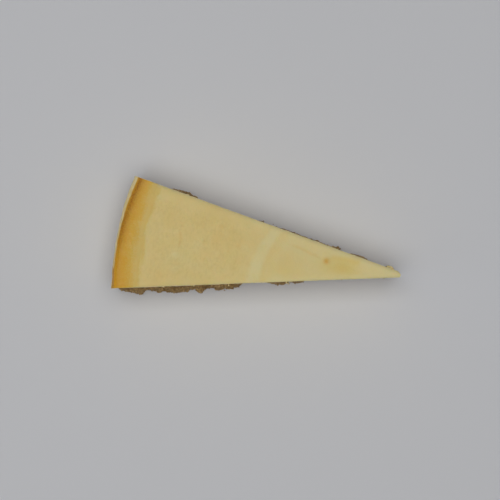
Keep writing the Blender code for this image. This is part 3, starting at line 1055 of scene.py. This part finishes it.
work = bmesh.new()
work.from_mesh(crust_mesh)
centres = np.array([face.calc_center_median()[:] for face in work.faces])
spots = top_map(centres)
low_gap, high_gap, _ = gaps(spots)
wall_gap = wall_distance(turn_of(spots), 0.0) / MM - np.linalg.norm(spots, axis=1)
well_inside = np.minimum(np.minimum(low_gap, high_gap), wall_gap)
hidden = (well_inside > UNDER_CHEESE) & (centres[:, 2] > CHEESE_FLOOR + 0.6 * MM)
hidden |= (well_inside > OVER_TABLE) & (centres[:, 2] < 0.25 * MM)
bmesh.ops.delete(work, geom=[face for face, gone in zip(work.faces, hidden) if gone], context="FACES")
bmesh.ops.holes_fill(work, edges=[edge for edge in work.edges if edge.is_boundary], sides=0)
work.to_mesh(crust_mesh)
work.free()
biscuit_crust = put_in_scene("biscuit_crust", crust_mesh)
print("biscuit_crust:", len(crust_mesh.polygons), "faces, and", int(hidden.sum()), "cut away")

# %% [markdown]
# The melted skin is still a little doughy. Cell noise, which is large between grains and small on them,
# presses seams between finer grains, and plain noise roughens their faces. How deep a point ends up is
# kept as a mask of painted shade, which darkens the hollows between the crumbs.

# %% Roughen the crumbs
crust_points = numbers_of(crust_mesh.vertices, "co")
crust_normals = numbers_of(crust_mesh.vertices, "normal")


def seams(points, size):
    """0 on a grain's middle, rising to about 1 at the seam with its neighbours."""
    gaps = (noise.voronoi(p)[0] for p in (points / size).tolist())
    return np.fromiter((near - far for near, far, _, _ in gaps), float, len(points)) + 1


coarse_seam, fine_seam = seams(crust_points, 1.5 * MM), seams(crust_points, 0.75 * MM)
rough = ripple(crust_points, 0.7 * MM, 91)
move = -0.17 * coarse_seam**2 - 0.10 * fine_seam**2 + 0.11 * rough + 0.06
crust_points = crust_points + crust_normals * (move * MM)[:, None]
crust_points[:, 2] = np.maximum(crust_points[:, 2], 0.0)
crust_mesh.vertices.foreach_set("co", crust_points.ravel())
crust_mesh.update()
crust_mesh.shade_smooth()
# Painted shade: the deeper a point lies, the darker it is painted
crevice_shade = 0.55 * coarse_seam**2 + 0.45 * fine_seam**2 - 0.5 * rough - 0.1
keep_mask(biscuit_crust, "crevice_shade", np.clip(crevice_shade, 0, 1))

# %% [markdown]
# ## The biscuit's finish
#
# Crushed biscuit is many browns at once: pale crumb from the middle of a biscuit, and darker baked
# faces. A Voronoi texture gives each grain its own random value, a ramp turns that value into a brown,
# and noise breaks up the edges. Butter makes some grains shine a little.

# %% Colours of the crumbs
CRUMB_BROWNS = (
    (0.0, (0.205, 0.120, 0.042)), (0.3, (0.330, 0.207, 0.078)), (0.65, (0.455, 0.305, 0.128)),
    (1.0, (0.64, 0.475, 0.24)),
)
GRAIN_SIZES = (0.95 * MM, 0.45 * MM)
GRAIN_BEND = 0.8 * MM  # how far noise pushes the grains' borders about


def crumb_material(name, browns, tone_share=0.0):
    """Browns in grains of two sizes, shifted by each crumb's own tone where tone_share isn't 0."""
    crumb = Recipe(name)
    wobble = crumb.add("TexNoise", {"Vector": crumb.where, "Scale": 1 / (0.9 * MM), "Detail": 2.0})
    bent = crumb.add("Mix", data_type="VECTOR", factor_mode="UNIFORM")
    crumb.feed(bent.inputs[0], GRAIN_BEND)
    crumb.feed(bent.inputs[4], crumb.where)
    crumb.feed(bent.inputs[5], wobble.outputs["Color"])
    coarse, finer = (crumb.cells(size, bent.outputs[1])[1] for size in GRAIN_SIZES)
    wide = crumb.speckle(5 * MM, detail=2.0)
    fine = crumb.speckle(0.35 * MM, detail=4.0)
    shade = crumb.sum(crumb.range(coarse, 0.10, 0.50), finer, 0.28)
    shade = crumb.sum(crumb.sum(shade, crumb.sum(fine, -0.5), 0.5), crumb.sum(wide, -0.5), 0.6)
    if tone_share:
        shade = crumb.sum(shade, crumb.sum(crumb.mask("tone"), -0.5), tone_share)
    colour = crumb.ramp(shade, browns)
    # Painted shade: darker in the hollows between grains and on the bedded side of each crumb
    hollow = crumb.range(crumb.mask("crevice_shade"), 1.0, 0.66)
    dark = {"Red": hollow, "Green": crumb.product(hollow, 0.98), "Blue": crumb.product(hollow, 0.93)}
    colour = crumb.tint(colour, crumb.add("CombineColor", dark).outputs[0])
    rough = crumb.bump(fine, 0.14 * MM)
    pores = crumb.bump(crumb.speckle(0.16 * MM, detail=2.0), 0.06 * MM, rough)
    crumb.set(Base_Color=colour, Roughness=crumb.range(coarse, 0.62, 0.92), Normal=pores, IOR=1.45)
    return crumb


biscuit = crumb_material("biscuit_crumb", CRUMB_BROWNS)
crust_mesh.materials.clear()
crust_mesh.materials.append(biscuit.material)
print("biscuit_crumb has", len(biscuit.tree.nodes), "nodes")

# %% [markdown]
# ## Single crumbs
#
# Melting rounds everything off, so crisp single crumbs go over the melted skin. Most are pressed into
# the side of the base, with less than half of each showing. A knife also frees a few: some lie against
# the foot of the slice, where it dragged them out, and some stick to the cut sides above the base. They
# are one kind of thing, so they are one mesh. First come the places.

# %% Places of the single crumbs
# On the -Y side, then on the +Y side: distance from the rim along the cut, distance out, radius, in mm
FALLEN_LOW = ((69.4, 1.7, 0.45), (70.6, 1.9, 0.7), (71.7, 1.6, 0.5), (75.6, 1.5, 0.35), (78.3, 1.6, 0.5),
              (80.1, 1.3, 0.4), (82.0, 1.2, 0.3), (9.9, 3.7, 0.35), (46.6, 3.5, 0.35), (53.0, 2.2, 0.35))
FALLEN_HIGH = ((91.4, 1.7, 0.6), (92.6, 1.3, 0.35), (60.5, 1.3, 0.3), (56.0, 1.2, 0.4))
STUCK_LOW, STUCK_HIGH = 36, 6  # just above the base, and carried higher
PRESSED_CRUMBS = 1900
PRESSED_LEAST, PRESSED_MOST = 0.24 * MM, 0.66 * MM

dice = np.random.default_rng(5)
pressed_at, pressed_facing = spots_on_sides(dice, PRESSED_CRUMBS)
pressed_radius = mostly_small(dice, PRESSED_LEAST, PRESSED_MOST, PRESSED_CRUMBS, 2)
# Sunk deeper on the +Y cut, which is the smoother one
sunk = dice.uniform(0.15, 0.55, PRESSED_CRUMBS) + 0.4 * (pressed_facing[:, 1] > 0.3)
pressed_at -= pressed_facing * (pressed_radius * sunk)[:, None]
pressed_at[:, 2] = np.clip(pressed_at[:, 2], pressed_radius * 0.6, base_high[2] - pressed_radius * 0.2)

centres, radii, facing = [], [], []
for fallen, side in ((FALLEN_LOW, -1), (FALLEN_HIGH, 1)):
    turn, away = beside_cut(side)
    for along, out, radius in fallen:
        foot = place(wall_distance(turn, CAKE_HEIGHT) - along * MM, turn, radius * 0.6 * MM)
        centres.append(foot + away * out * MM)
        radii.append(radius * MM)
        facing.append((0.0, 0.0, 1.0))
for number in range(STUCK_LOW + STUCK_HIGH):
    turn, away = beside_cut(dice.choice((-1, 1)))
    climb = 0.1 + 1.3 * dice.random() ** 2 if number < STUCK_LOW else dice.uniform(1.5, 7.0)
    height = base_high[2] + climb * MM
    at_cut = place(wall_distance(turn, CAKE_HEIGHT) * dice.uniform(0.08, 0.97), turn, height)
    centres.append(at_cut - away * 0.04 * MM)
    radii.append((0.18 + 0.26 * dice.random() ** 2) * MM)
    facing.append(away)
centres = np.concatenate((np.array(centres), pressed_at))
radii = np.concatenate((np.array(radii), pressed_radius))
facing = np.concatenate((np.array(facing), pressed_facing))
print("single crumbs:", len(centres), "of which pressed into the base:", PRESSED_CRUMBS)

# %% [markdown]
# Each crumb gets its own `tone`, because it is a piece of a lighter or darker part of a biscuit, and a
# mask of painted shade darkens the side on which it is bedded. Edges sharper than 35 degrees stay crisp.

# %% Shape the single crumbs
SHARP_CRUMB = math.radians(35)

single_points, single_faces = crumbs(dice, centres, radii, 1, planes=7, stretch=(0.75, 1.3))
single_points[:, 2] = np.maximum(single_points[:, 2], 0.0)
points_each = len(single_points) // len(centres)
from_middle = single_points - np.repeat(centres, points_each, axis=0)
outwards = (from_middle * np.repeat(facing, points_each, axis=0)).sum(axis=1)
outwards /= np.repeat(radii, points_each)
single_crumbs = mesh_piece("single_crumbs", single_points, single_faces.tolist())
single_crumbs.data.set_sharp_from_angle(angle=SHARP_CRUMB)
tones = dice.random(len(centres))
tones[: len(centres) - PRESSED_CRUMBS] *= 0.7
keep_mask(single_crumbs, "tone", np.repeat(tones, points_each))
# Painted shade on the side on which each crumb is bedded
keep_mask(single_crumbs, "crevice_shade", np.clip(0.3 - 0.9 * outwards, 0, 1))
single_crumb = crumb_material("single_crumb", CRUMB_BROWNS, tone_share=0.75)
single_crumbs.data.materials.append(single_crumb.material)
print("single_crumbs:", len(single_faces), "triangles")

# %% [markdown]
# The blade also carries shreds of cheese down with it. A few pale ones lie across the crumb ledge: long
# soft crumbs of cream-coloured curd.

# %% Shreds of cheese on the ledge
# Cut, distance from the rim along it, distance out, height, length out and along, and thickness, in mm
SHREDS = (
    (-1, 48.6, 0.9, 6.9, 1.3, 0.45, 0.4), (-1, 74.3, 0.9, 6.0, 1.2, 0.8, 0.6),
    (-1, 75.3, 1.5, 0.4, 0.8, 0.6, 0.5), (-1, 33.1, 0.8, 6.9, 0.8, 0.5, 0.4),
    (-1, 19.6, 0.7, 7.0, 0.5, 0.9, 0.4), (1, 115.9, 0.8, 6.9, 1.4, 3.4, 0.8),
    (1, 20.4, 0.6, 6.9, 0.6, 1.1, 0.4),
)
SHRED_PALE, SHRED_TAN = (0.83, 0.71, 0.36), (0.70, 0.56, 0.25)

round_points, round_faces = ball(3)
points, faces = [], []
for number, (side, along, out, height, length_out, length_along, thick) in enumerate(SHREDS):
    turn, away = beside_cut(side)
    inwards = np.array((math.cos(turn), -math.sin(turn), 0.0))
    middle = place(wall_distance(turn, CAKE_HEIGHT) - along * MM, turn, height * MM)
    lump = round_points * (1 + 0.35 * ripple(round_points, 0.9, 40 + number)[:, None])
    lump = lump * (length_along / 2, length_out / 2, thick / 2)
    lump[:, 2] += 0.2 * thick * np.cos(lump[:, 1] * 2.2)
    shape = lump[:, :1] * inwards + lump[:, 1:2] * away + lump[:, 2:] * np.array((0, 0, 1.0))
    faces.append(round_faces + len(points) * len(round_points))
    points.append(middle + away * out * MM + shape * MM)
cheese_shreds = mesh_piece("cheese_shreds", np.concatenate(points), np.concatenate(faces).tolist())
curd_shred = Recipe("curd_shred")
shred_grain = curd_shred.speckle(0.5 * MM, detail=4.0)
tanned = curd_shred.range(shred_grain, 0.0, 1.0, 0.35, 0.65)
curd_shred.set(Base_Color=curd_shred.mix(tanned, SHRED_PALE, SHRED_TAN), IOR=1.42,
               Roughness=curd_shred.range(shred_grain, 0.5, 0.7),
               Normal=curd_shred.bump(shred_grain, 0.1 * MM), Subsurface_Weight=0.35,
               Subsurface_Radius=CURD_GLOW, Subsurface_Scale=1.5 * MM)
cheese_shreds.data.materials.append(curd_shred.material)
print("cheese_shreds:", len(SHREDS), "shreds,", len(cheese_shreds.data.polygons), "triangles")

# %% [markdown]
# ## Tie the pieces to the frame
#
# The slice is one body, so every piece rides on the root. The two fine meshes stand for the two solids,
# which are hidden.

# %% Ride and replace
for piece, finish in ((cheese_body, "baked_cheese"), (biscuit_crust, "biscuit_crumb"),
                      (single_crumbs, "biscuit_crumb"), (cheese_shreds, "baked_cheese")):
    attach(piece, "root")
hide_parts("cheese_layer")
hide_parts("biscuit_base")

# %% [markdown]
# ## Floor and light
#
# A plain pale floor and soft lamps are a small photo studio. The photo's light comes from nearly
# overhead, so the sides are dim and the floor is shaded only close to the slice. A second soft lamp from
# the rim's side picks out the outer wall. The sky is bright near the horizon and dim overhead, so it
# fills the shadows from the sides.

# %% Floor, lamps and sky
FLOOR_SIDE = 6.0
FLOOR_GREY = (0.712, 0.717, 0.742)
# Name, place in metres, side of the lamp in metres, power in watts
LAMPS = (
    ("main_lamp", (-0.05, -0.01, 1.10), 0.60, 6.10),
    ("wall_lamp", (-0.95, -0.35, 0.75), 0.60, 0.45),
)
SKY_GREY = (0.80, 0.81, 0.82)
SKY_OVERHEAD, SKY_LEVEL, SKY_FADES = 0.08, 1.70, 0.40

floor_corners = np.array(((-1, -1, 0), (1, -1, 0), (1, 1, 0), (-1, 1, 0))) * FLOOR_SIDE / 2
floor = mesh_piece("floor", floor_corners, [(0, 1, 2, 3)])
plain = Recipe("floor_paint")
plain.set(Base_Color=(*FLOOR_GREY, 1.0), Roughness=0.8)
floor.data.materials.append(plain.material)

for name, location, side, watts in LAMPS:
    light = bpy.data.lights.new(name, "AREA")
    light.shape = "SQUARE"
    light.size = side
    light.energy = watts
    lamp = put_in_scene(name, light)
    lamp.location = location
    lamp.rotation_euler = (-Vector(location)).to_track_quat("-Z", "Y").to_euler()
sky = bpy.data.worlds.new("studio")
sky.use_nodes = True
background = sky.node_tree.nodes["Background"]
background.inputs["Color"].default_value = (*SKY_GREY, 1.0)
looking = sky.node_tree.nodes.new("ShaderNodeTexCoord")
parts = sky.node_tree.nodes.new("ShaderNodeSeparateXYZ")
fade = sky.node_tree.nodes.new("ShaderNodeMapRange")
fade.inputs["From Max"].default_value = SKY_FADES
fade.inputs["To Min"].default_value = SKY_LEVEL
fade.inputs["To Max"].default_value = SKY_OVERHEAD
sky.node_tree.links.new(looking.outputs["Generated"], parts.inputs[0])
sky.node_tree.links.new(parts.outputs["Z"], fade.inputs["Value"])
sky.node_tree.links.new(fade.outputs["Result"], background.inputs["Strength"])
bpy.context.scene.world = sky
bpy.context.scene.view_settings.view_transform = "Standard"
